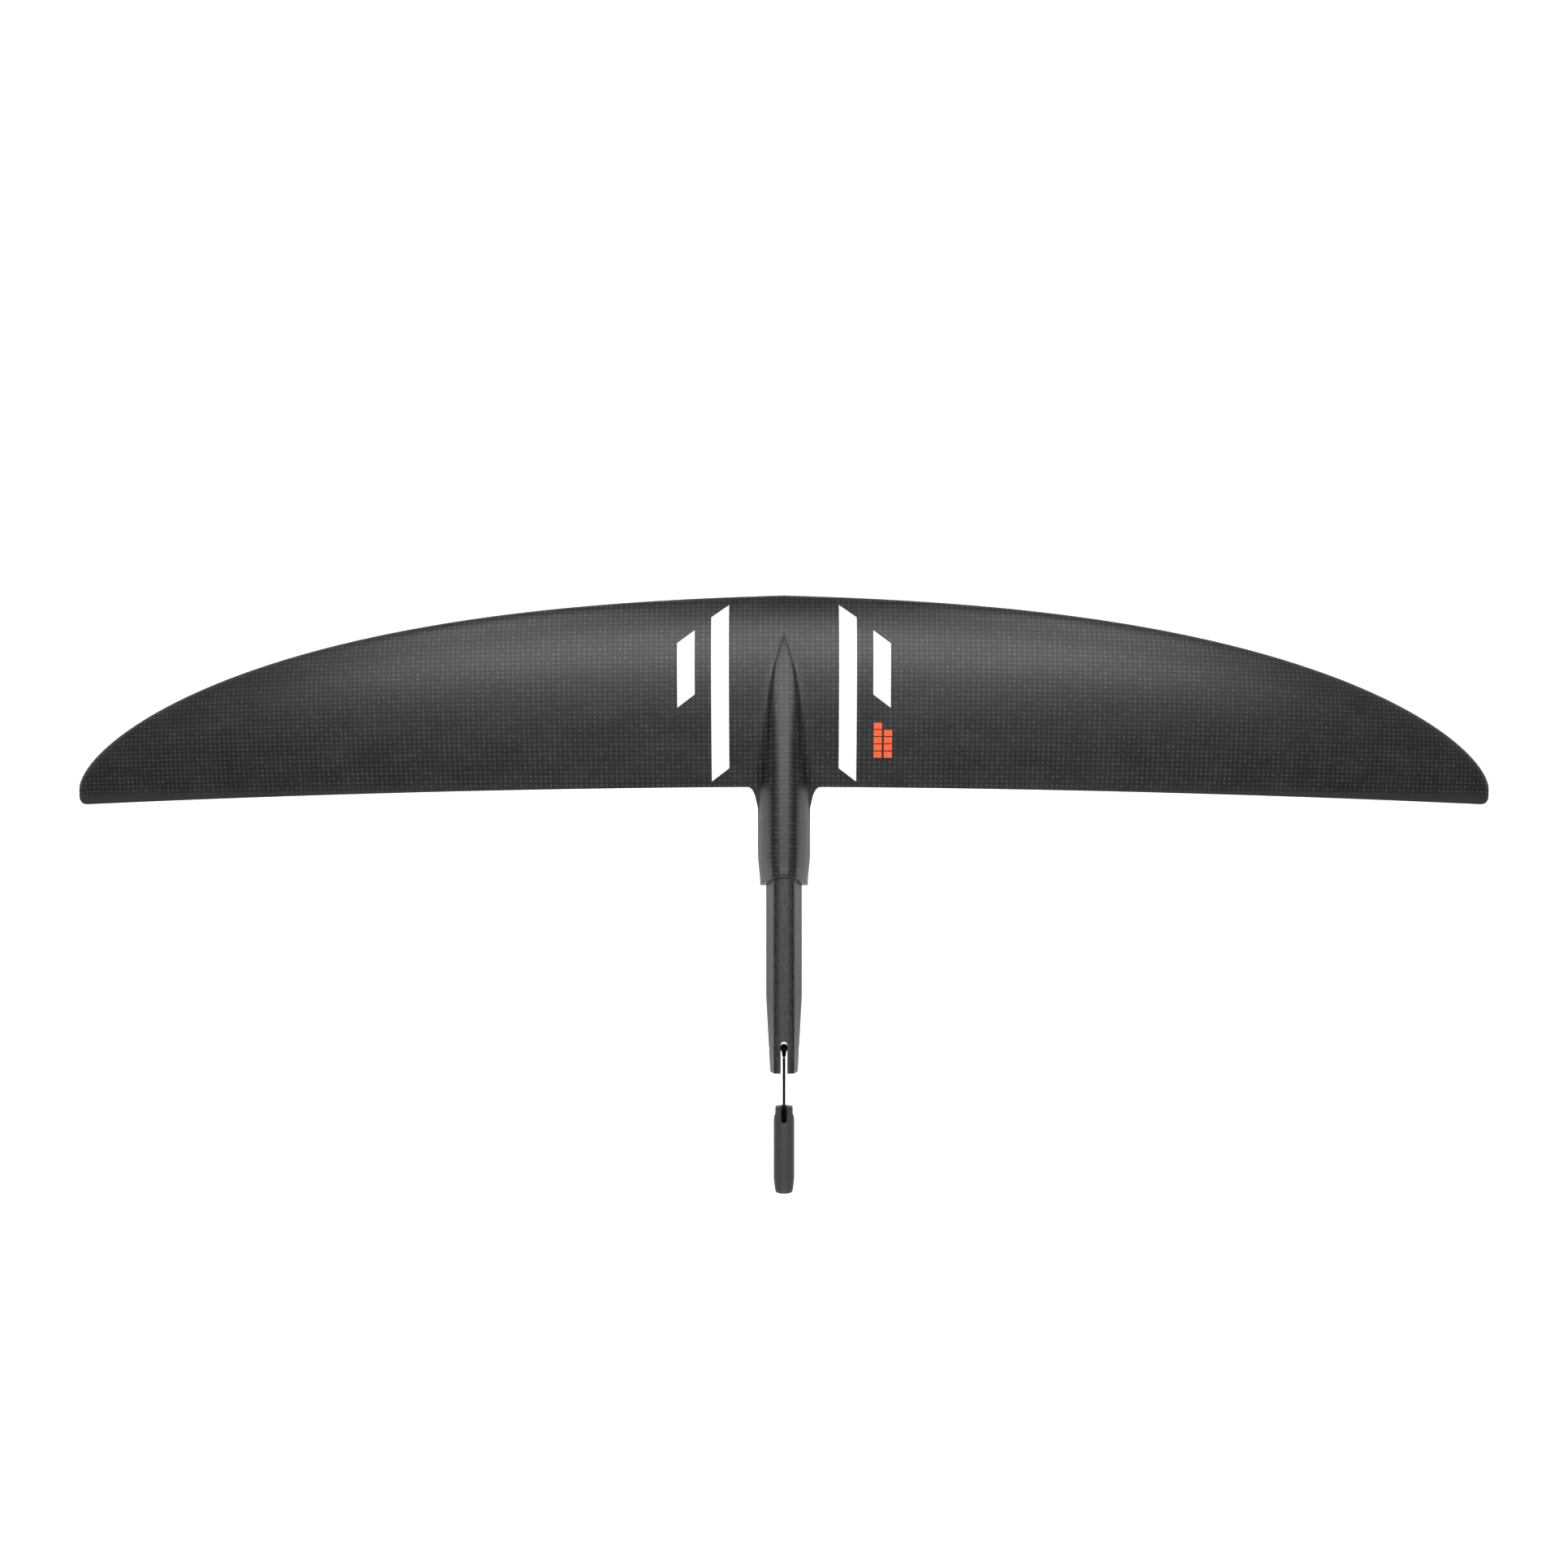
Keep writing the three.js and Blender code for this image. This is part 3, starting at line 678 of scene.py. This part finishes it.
class Finish:
    """A material under construction; place, x and y are in millimetres of the row frame."""

    def __init__(self, name, settings):
        self.material = bpy.data.materials.new(name)
        self.material.use_nodes = True
        self.tree = self.material.node_tree
        self.shader = self.tree.nodes["Principled BSDF"]
        for socket, value in settings.items():
            self.feed(self.shader.inputs[socket], value)
        place = self.node("ShaderNodeTexCoord").outputs["Object"]
        scaled = self.node("ShaderNodeVectorMath", [place, (1000, 1000, 1000)], operation="MULTIPLY")
        self.place = scaled.outputs[0]
        axes = self.node("ShaderNodeSeparateXYZ", [self.place]).outputs
        self.x, self.y = axes[0], axes[1]

    def feed(self, socket, value):
        if isinstance(value, bpy.types.NodeSocket):
            self.tree.links.new(value, socket)
        else:
            socket.default_value = value

    def node(self, kind, inputs=(), **settings):
        made = self.tree.nodes.new(kind)
        for key, value in settings.items():
            setattr(made, key, value)
        for i, value in enumerate(inputs):
            self.feed(made.inputs[i], value)
        return made

    def math(self, operation, *inputs):
        return self.node("ShaderNodeMath", inputs, operation=operation).outputs[0]

    def add(self, *terms):
        total = terms[0]
        for term in terms[1:]:
            total = self.math("ADD", total, term)
        return total

    def times(self, *factors):
        product = factors[0]
        for factor in factors[1:]:
            product = self.math("MULTIPLY", product, factor)
        return product

    def step(self, value, low, high, bottom=0.0, top=1.0):
        """Goes smoothly from bottom to top as the value goes from low to high."""
        made = self.node("ShaderNodeMapRange", [value, low, high, bottom, top],
                         interpolation_type="SMOOTHSTEP")
        return made.outputs[0]

    def stretched(self, x, y, z):
        return self.node("ShaderNodeVectorMath", [self.place, (x, y, z)],
                         operation="MULTIPLY").outputs[0]

    def noise(self, vector, detail=2.0, roughness=0.5):
        made = self.node("ShaderNodeTexNoise")
        self.feed(made.inputs["Vector"], vector)
        made.inputs["Scale"].default_value = 1.0
        made.inputs["Detail"].default_value = detail
        made.inputs["Roughness"].default_value = roughness
        return made.outputs["Fac"]

    def random(self, *axes):
        """A number from 0 to 1 that is always the same for the same cell."""
        cell = self.node("ShaderNodeCombineXYZ", axes).outputs[0]
        made = self.node("ShaderNodeTexWhiteNoise", noise_dimensions="3D")
        self.feed(made.inputs["Vector"], cell)
        return made.outputs["Value"]

    def blend(self, amount, a, b):
        made = self.node("ShaderNodeMix", data_type="RGBA")
        for socket, value in ((made.inputs[0], amount), (made.inputs[6], a), (made.inputs[7], b)):
            self.feed(socket, value)
        return made.outputs[2]

    def colour(self, value):
        self.feed(self.shader.inputs["Base Color"], value)

    def rough(self, value):
        self.feed(self.shader.inputs["Roughness"], value)

    def relief(self, height, depth):
        """Bump from a height between 0 and 1 that stands for a depth in millimetres."""
        made = self.node("ShaderNodeBump")
        self.feed(made.inputs["Strength"], 1.0)
        self.feed(made.inputs["Distance"], depth * MM)
        self.feed(made.inputs["Height"], height)
        self.feed(self.shader.inputs["Normal"], made.outputs[0])


def grey(level, blue=1.0):
    """An even grey, or one with a little more blue in it."""
    return (level, level, level * blue, 1)


TOW_ACROSS = 3.93
TOW_ALONG = 3.4
CROWN_BAND = 10.0
FLANK_START = -73.0


def tows(look, x, y, across, along, slim=4.6, long=2.3):
    """(crossing, tone): the lozenge where two tows cross, which the finish paints bright as a glint, and a
    shade of its own.
    """
    u = look.math("DIVIDE", x, across)
    v = look.math("DIVIDE", y, along)
    i = look.math("FLOOR", u)
    j = look.math("FLOOR", v)
    a = look.math("SUBTRACT", look.math("SUBTRACT", u, i), 0.5)
    b = look.math("SUBTRACT", look.math("SUBTRACT", v, j), 0.5)
    total = look.math("ADD", a, b)
    difference = look.math("SUBTRACT", a, b)
    spread = look.add(look.times(total, total, slim), look.times(difference, difference, long))
    crossing = look.step(look.math("SUBTRACT", 1.0, spread), 0.0, 1.0)
    return crossing, look.random(i, j, 3.0)


def carbon_finish():
    """Woven carbon under a clear coat, with a painted glint on the weave, a painted highlight down the
    middle of the ridge and sleeve crown, and plain carbon along the sleeve's sides.
    """
    look = Finish("clear_coated_carbon", {
        "Metallic": 0.0, "Specular IOR Level": 0.5, "Coat Weight": 0.3, "Coat Roughness": 0.34,
    })
    out = look.math("ABSOLUTE", look.x)
    crossing, tone = tows(look, look.x, look.y, TOW_ACROSS, TOW_ALONG)
    fibres = look.noise(look.stretched(0.55, 7.0, 0.55), 3.0, 0.6)
    strands = look.noise(look.stretched(5.0, 0.4, 5.0), 3.0, 0.6)
    patches = look.noise(look.stretched(0.035, 0.06, 0.035), 2.0, 0.5)
    # Painted glint: the weave's crossings are painted brighter in the base colour, as if they caught the
    # light.
    glint = look.times(crossing, look.add(0.35, look.times(tone, 0.9)))
    # Painted highlight: a lighter line down the middle of the ridge and sleeve crown, where the painted
    # glint is also toned down.
    ridge = look.times(look.step(out, 2.5, 6.0, 1.0, 0.0), look.step(look.y, -186.0, -150.0))
    shine = look.add(0.75, look.times(ridge, -0.45))
    shade = look.add(look.times(glint, shine), look.times(fibres, 0.2), look.times(patches, 0.25),
                     look.times(ridge, 0.28), -0.2)
    weave = look.blend(shade, grey(0.003, 1.06), grey(0.055, 1.05))
    # Behind the trailing edge the sleeve's sides are plain carbon with its fibres lengthwise.
    plain = look.blend(strands, grey(0.006, 1.04), grey(0.03, 1.04))
    beside = look.times(look.step(out, CROWN_BAND - 0.5, CROWN_BAND + 0.5),
                        look.step(look.y, FLANK_START - 5.0, FLANK_START + 5.0))
    look.colour(look.blend(beside, weave, plain))
    look.rough(look.add(0.36, look.times(glint, -0.08), look.times(patches, 0.12),
                        look.times(beside, 0.12)))
    woven = look.times(crossing, look.math("SUBTRACT", 1.0, beside))
    look.relief(look.add(look.times(woven, 0.8), look.times(fibres, 0.3)), 0.04)
    return look.material


def spigot_finish():
    """Long tows along the crown, dark at its edges with a painted highlight down its middle, and plain
    flanks.
    """
    look = Finish("spigot_carbon", {
        "Metallic": 0.0, "Specular IOR Level": 0.5, "Coat Weight": 0.3, "Coat Roughness": 0.3,
    })
    out = look.math("ABSOLUTE", look.x)
    strands = look.noise(look.stretched(4.5, 0.3, 4.5), 3.0, 0.6)
    broad = look.noise(look.stretched(0.75, 0.13, 0.75), 1.0, 0.5)
    dashes = look.noise(look.stretched(1.5, 0.28, 1.5), 1.0, 0.4)
    patch = look.step(broad, 0.35, 0.65)
    dash = look.step(dashes, 0.38, 0.62)
    # Painted highlight: the crown is painted pale down its middle, with the patches breaking up its edge.
    middle = look.step(look.add(out, look.times(patch, 1.4)), 2.6, 6.6, 1.0, 0.0)
    shade = look.add(look.times(middle, 0.42), look.times(patch, 0.2), look.times(dash, 0.26),
                     look.times(strands, 0.1), -0.12)
    crown = look.blend(shade, grey(0.001, 1.03), grey(0.08, 1.07))
    flank = look.blend(strands, grey(0.006, 1.03), grey(0.03, 1.03))
    beside = look.step(out, SPIGOT_CROWN - 0.3, SPIGOT_CROWN + 0.3)
    look.colour(look.blend(beside, crown, flank))
    look.rough(look.add(0.36, look.times(strands, 0.12), look.times(beside, 0.14)))
    look.relief(look.add(look.times(dash, 0.5), look.times(strands, 0.4)), 0.05)
    return look.material


def speckled(name, settings, low, high, size, depth, rough=0.4, swing=0.15, drawn=(1, 1, 1)):
    """A plain finish with fine grain: its colour runs from low to high."""
    look = Finish(name, settings)
    fine = look.noise(look.stretched(*(axis / size for axis in drawn)), 3.0, 0.6)
    broad = look.noise(look.stretched(0.05, 0.05, 0.05), 2.0, 0.5)
    amount = look.step(look.add(look.times(fine, 0.7), look.times(broad, 0.3)), 0.25, 0.75)
    look.colour(look.blend(amount, low, high))
    look.rough(look.add(rough, look.times(fine, swing)))
    look.relief(fine, depth)
    return look.material


finishes = {
    "carbon": carbon_finish(),
    "spigot": spigot_finish(),
    "carbon_plain": speckled("plain_carbon", {"Coat Weight": 0.1, "Coat Roughness": 0.4},
                             grey(0.012), grey(0.035), 0.4, 0.02, 0.4, 0.2, (0.08, 3.0, 3.0)),
    "foam": speckled("core_foam", {"Metallic": 0.0}, (0.55, 0.47, 0.28, 1), (0.72, 0.65, 0.45, 1),
                     0.45, 0.12, 0.8, 0.15),
    "film_white": speckled("white_film", {"Coat Weight": 0.2, "Coat Roughness": 0.3},
                           (0.86, 0.86, 0.85, 1), (0.93, 0.93, 0.92, 1), 0.6, 0.006, 0.38, 0.08),
    "film_orange": speckled("orange_film", {"Coat Weight": 0.2, "Coat Roughness": 0.3},
                            (0.92, 0.095, 0.025, 1), (1.0, 0.13, 0.035, 1), 0.6, 0.006, 0.38, 0.08),
    "black_steel": speckled("black_oxide", {"Specular IOR Level": 0.1}, grey(0.0), grey(0.004),
                            0.35, 0.01, 0.5, 0.15, (0.4, 2.0, 2.0)),
    "brass": speckled("machined_brass", {"Metallic": 1.0}, (0.55, 0.38, 0.15, 1), (0.75, 0.56, 0.27, 1),
                      0.3, 0.01, 0.25, 0.15, (2.0, 0.3, 0.3)),
    "grey_polymer": speckled("moulded_polymer", {"Specular IOR Level": 0.4},
                             grey(0.03, 1.01), grey(0.046, 1.01), 0.22, 0.035, 0.5, 0.12),
}


# ---- the pieces ----------------------------------------------------------------------------------

dress(make("upper_laminate", *skin(1)), "wing", "carbon", finishes["carbon"], "upper_skin")
dress(make("lower_laminate", *skin(-1)), "wing", "carbon", finishes["carbon"], "lower_skin")
for label, sign in (("left", 1), ("right", -1)):
    dress(make(f"tip_block_{label}", *tip(sign)), "wing", "carbon", finishes["carbon"],
          f"tip_{label}")
    for length, spans, backs in (("long", LONG_SPANS, LONG_BACKS), ("short", SHORT_SPANS, SHORT_BACKS)):
        stripe = film([sign * span for span in spans], backs, SLANT)
        dress(make(f"{length}_film_{label}", *stripe), "wing", "film_white", finishes["film_white"],
              f"{length}_stripe_{label}")
dress(make("orange_mark", *mark(-1)), "wing", "film_orange", finishes["film_orange"], "size_mark")
dress(spigot(), "wing", "carbon", finishes["spigot"], "spigot")
pin = [(-PIN_HALF_LENGTH, 0), (-PIN_HALF_LENGTH, PIN_RADIUS), (PIN_HALF_LENGTH, PIN_RADIUS),
       (PIN_HALF_LENGTH, 0)]
pin_points, pin_faces = turned(eased(pin, 0.4), 48)
dress(make("pivot_pin", crosswise(pin_points), pin_faces), "wing", "black_steel",
      finishes["black_steel"], "cross_pin")

dress(rod_eye(), "tie_rod", "black_steel", finishes["black_steel"], "rod_eye")
stem = BARREL_FRONT + 2
rod = [(ROD_FRONT, 0), (ROD_FRONT, ROD_RADIUS), (stem, ROD_RADIUS), (stem + 1, STEM_RADIUS),
       (ROD_END, STEM_RADIUS), (ROD_END, 0)]
dress(make("rod_shaft", *turned(eased(rod, 0.2), 48)), "tie_rod", "black_steel",
      finishes["black_steel"], "tie_rod")
head = [(HEAD_FRONT, 0), (HEAD_FRONT, HEAD_RADIUS), (HEAD_FRONT + 3, HEAD_RADIUS),
        (HEAD_FRONT + 4, HEAD_RADIUS - 1), (HEAD_FRONT + 4, 0)]
dress(make("rod_end_head", *turned(eased(head, 0.4), 64)), "tie_rod", "black_steel",
      finishes["black_steel"], "rod_head")

dress(barrel(), "barrel", "grey_polymer", finishes["grey_polymer"], "barrel_sleeve")
washer = [(WASHER_FRONT, THROAT_RADIUS), (WASHER_FRONT, BUSH_RADIUS), (ROD_END, BUSH_RADIUS),
          (ROD_END, THROAT_RADIUS)]
dress(make("washer_ring", *turned(eased(washer, 0.2), 64)), "barrel", "brass", finishes["brass"],
      "thrust_washer")
dress(make("insert_thread", *turned(threaded(INSERT_FRONT, INSERT_END), 64)), "barrel", "brass",
      finishes["brass"], "threaded_insert")

node_slots = {
    "carbon_plain": ["spar_cap_upper", "spar_cap_lower", "spar_web"]
    + [f"{edge}_edge_{label}" for edge in ("leading", "trailing") for label in ("left", "right")],
    "foam": ["fuselage_core", "spigot_core"]
    + [f"{end}_core_{label}" for end in ("front", "rear") for label in ("left", "right")],
}
for slot, names in node_slots.items():
    for name in names:
        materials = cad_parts[name].data.materials
        for i in range(len(materials)):
            materials[i] = finishes[slot]


# ---- floor, lights and camera --------------------------------------------------------------------

def light(name, place, size, power):
    """A soft rectangular light that faces the frame's origin."""
    lamp = bpy.data.lights.new(name, "AREA")
    lamp.shape = "RECTANGLE"
    lamp.size, lamp.size_y = size
    lamp.energy = power
    obj = bpy.data.objects.new(name, lamp)
    obj.location = place
    obj.rotation_euler = (-Vector(place)).to_track_quat("-Z", "Y").to_euler()
    bpy.context.scene.collection.objects.link(obj)


FLOOR_REACH = 12.0
FLOOR_DEPTH = 0.5


def floor():
    """A pale floor under the wing, which gives off a little light."""
    finish = Finish("pale_floor", {
        "Roughness": 0.9, "Emission Color": (1, 1, 1, 1), "Emission Strength": 0.42,
    })
    grain = finish.noise(finish.stretched(0.02, 0.02, 0.02), 2.0, 0.5)
    finish.colour(finish.blend(grain, (0.93, 0.93, 0.93, 1), (0.95, 0.95, 0.95, 1)))
    mesh = bpy.data.meshes.new("studio_floor")
    level = cad_box[0][2] - FLOOR_DEPTH
    corners = [(x * FLOOR_REACH, y * FLOOR_REACH, level) for x, y in ((-1, -1), (1, -1), (1, 1), (-1, 1))]
    mesh.from_pydata(corners, [], [(0, 1, 2, 3)])
    obj = bpy.data.objects.new("studio_floor", mesh)
    obj.data.materials.append(finish.material)
    bpy.context.scene.collection.objects.link(obj)


def studio_world(seen, lit):
    """A plain world that the camera sees at one strength and that lights the object at another."""
    world = bpy.data.worlds.new("studio")
    world.use_nodes = True
    tree = world.node_tree
    background = tree.nodes["Background"]
    path = tree.nodes.new("ShaderNodeLightPath")
    strength = tree.nodes.new("ShaderNodeMapRange")
    strength.inputs["To Min"].default_value = lit
    strength.inputs["To Max"].default_value = seen
    tree.links.new(path.outputs["Is Camera Ray"], strength.inputs["Value"])
    tree.links.new(strength.outputs[0], background.inputs["Strength"])
    background.inputs["Color"].default_value = (1, 1, 1, 1)
    bpy.context.scene.world = world


studio_world(0.6, 0.18)
floor()
light("overhead", (0, -0.85, 2.1), (3.8, 1.0), 43)
for label, sign in (("left", 1), ("right", -1)):
    light(f"front_{label}", (sign * 1.3, -2.0, 1.5), (1.2, 0.8), 11)
light("behind", (0, 2.4, 1.5), (3.0, 0.8), 55)
# The plain view transform keeps the white and orange films from washing out.
bpy.context.scene.view_settings.view_transform = "Standard"

lens = bpy.data.cameras.new("camera")
lens.sensor_width = 36
lens.lens = 29.81
lens.shift_y = 0.0699
lens.clip_start = 0.01
camera = bpy.data.objects.new("camera", lens)
camera.location = (0, 0.0064, 0.9926)
camera.rotation_euler = (0, 0, math.pi)
bpy.context.scene.collection.objects.link(camera)
bpy.context.scene.camera = camera
